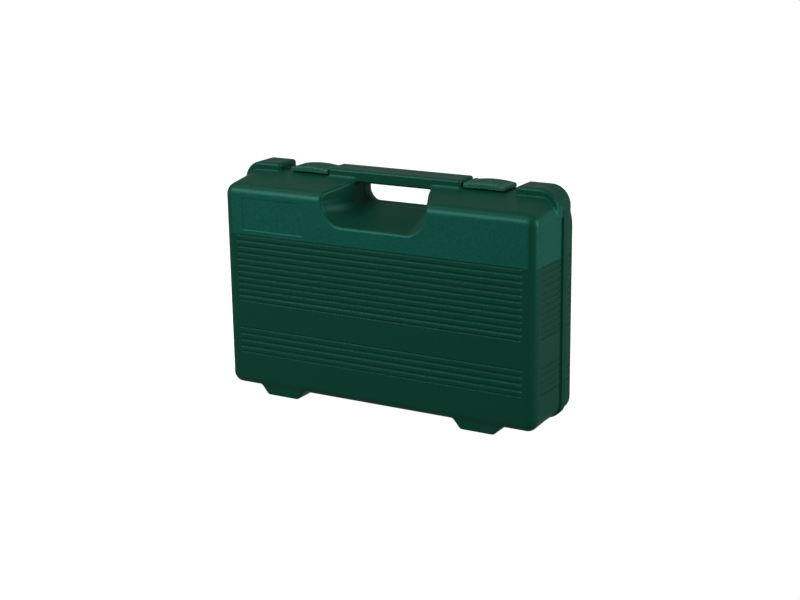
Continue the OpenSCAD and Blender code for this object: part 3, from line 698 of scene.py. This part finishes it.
def rubber():
    """Black rubber, for the grips."""
    mat, tree, bsdf = new_material("black_grip")
    if not tree:
        return mat
    fine = grain(tree, 1600, 3)
    colour = ramp(tree, fine.outputs["Fac"], [(0.3, (0.01, 0.01, 0.011)), (0.75, (0.03, 0.03, 0.032))])
    tree.links.new(colour, bsdf.inputs["Base Color"])
    tree.links.new(span(tree, fine.outputs["Fac"], 0.5, 0.75), bsdf.inputs["Roughness"])
    bump(tree, bsdf, fine.outputs["Fac"], 0.5, 0.0004)
    return mat


SLOT_MATERIALS = {"steel": steel, "chrome": chrome, "tray_plastic": tray_material,
                  "grip_rubber": rubber, "case_plastic": green_plastic,
                  "latch_plastic": latch_plastic, "foam": foam_material}
TRAY_EDGE, TOOL_EDGE = 0.7, 0.3


def dress_nodes():
    """Every carried-over CAD node gets its slot's material and fine broken edges."""
    slots = {s["node"]: s["material_slot"] for s in frame["record"]["subparts"]}
    for name, obj in frame["nodes"].items():
        if obj.hide_render:
            continue
        material = SLOT_MATERIALS[slots[name]]()
        obj.data.materials.clear()
        obj.data.materials.append(material)
        weld = obj.modifiers.new("weld", "WELD")
        weld.merge_threshold = 1e-6
        edge = obj.modifiers.new("edges", "BEVEL")
        edge.width = (TRAY_EDGE if name.startswith("tray") else TOOL_EDGE) * MM
        edge.segments = 2
        edge.limit_method = "ANGLE"
        edge.angle_limit = math.radians(35)
        edge.harden_normals = True
        edge.use_clamp_overlap = True


# Camera, floor and lights

CAMERA_PLACE = (0.919, -1.580, 0.639)
CAMERA_AZIMUTH = math.radians(30.01)
CAMERA_HEIGHT = math.radians(15.56)
CAMERA_ROLL = math.radians(-0.82)
CAMERA_LENS = 70.7


def make_camera():
    """A long lens that looks along its azimuth and height, with a slight roll."""
    data = bpy.data.cameras.new("camera")
    data.lens = CAMERA_LENS
    data.sensor_width = 36
    cam = bpy.data.objects.new("camera", data)
    bpy.context.collection.objects.link(cam)
    level = math.cos(CAMERA_HEIGHT)
    back = Vector((math.sin(CAMERA_AZIMUTH) * level, -math.cos(CAMERA_AZIMUTH) * level,
                   math.sin(CAMERA_HEIGHT)))
    cam.location = CAMERA_PLACE
    cam.rotation_mode = "QUATERNION"
    cam.rotation_quaternion = Quaternion(back, CAMERA_ROLL) @ (-back).to_track_quat("-Z", "Y")
    bpy.context.scene.camera = cam


def area_light(name, place, target, size, power):
    """A rectangular lamp at place, turned to target."""
    data = bpy.data.lights.new(name, "AREA")
    data.shape = "RECTANGLE"
    data.size, data.size_y = size
    data.energy = power
    lamp = bpy.data.objects.new(name, data)
    bpy.context.collection.objects.link(lamp)
    lamp.location = place
    aim = Vector(target) - Vector(place)
    lamp.rotation_mode = "QUATERNION"
    lamp.rotation_quaternion = aim.to_track_quat("-Z", "Y")


FLOOR_REACH = 1.5


def mix_for_camera(tree, output, lighting, direct):
    """One shader for what lights the object and another for what is seen directly."""
    ray = add_node(tree, "ShaderNodeLightPath")
    mix = add_node(tree, "ShaderNodeMixShader", {0: ray.outputs["Is Camera Ray"],
                                                 1: lighting.outputs[0], 2: direct.outputs[0]})
    tree.links.new(mix.outputs[0], tree.nodes[output].inputs["Surface"])


def make_stage():
    """Bench, sky and lamps. The bench ends under the parting line, as the opened lid hangs past it."""
    edge = (PART_Y + 1) * MM
    corners = [(-FLOOR_REACH, edge, 0), (FLOOR_REACH, edge, 0),
               (FLOOR_REACH, FLOOR_REACH, 0), (-FLOOR_REACH, FLOOR_REACH, 0)]
    mesh = bpy.data.meshes.new("floor")
    mesh.from_pydata(corners, [], [(0, 1, 2, 3)])
    floor = bpy.data.objects.new("floor", mesh)
    bpy.context.collection.objects.link(floor)
    mat, tree, bsdf = new_material("floor_white")
    bsdf.inputs["Base Color"].default_value = (0.9, 0.9, 0.9, 1)
    bsdf.inputs["Roughness"].default_value = 0.8
    bsdf.inputs["Emission Color"].default_value = (1, 1, 1, 1)
    bsdf.inputs["Emission Strength"].default_value = 0.75
    dim = add_node(tree, "ShaderNodeBsdfDiffuse", {"Color": (0.25, 0.32, 0.29, 1)})
    mix_for_camera(tree, "Material Output", dim, bsdf)
    mesh.materials.append(mat)

    world = bpy.data.worlds.new("studio")
    bpy.context.scene.world = world
    world.use_nodes = True
    tree = world.node_tree
    back = tree.nodes["Background"]
    back.inputs["Color"].default_value = (0.92, 1, 0.96, 1)
    back.inputs["Strength"].default_value = 0.24
    white = add_node(tree, "ShaderNodeBackground", {"Color": (1, 1, 1, 1), "Strength": 1.0})
    mix_for_camera(tree, "World Output", back, white)

    area_light("key", (-0.9, -1.4, 1.15), (0, 0, 0.17), (1.2, 0.8), 25)
    area_light("side", (1.9, 0.1, 0.7), (0.1, 0, 0.15), (0.8, 1.2), 26)
    area_light("edge", (-0.35, -0.55, 1.5), (0, 0, 0.26), (1.6, 0.07), 4)
    bpy.context.scene.view_settings.view_transform = "Standard"


make_camera()
make_stage()
make_shells()
make_latches()
make_foam()
dress_nodes()
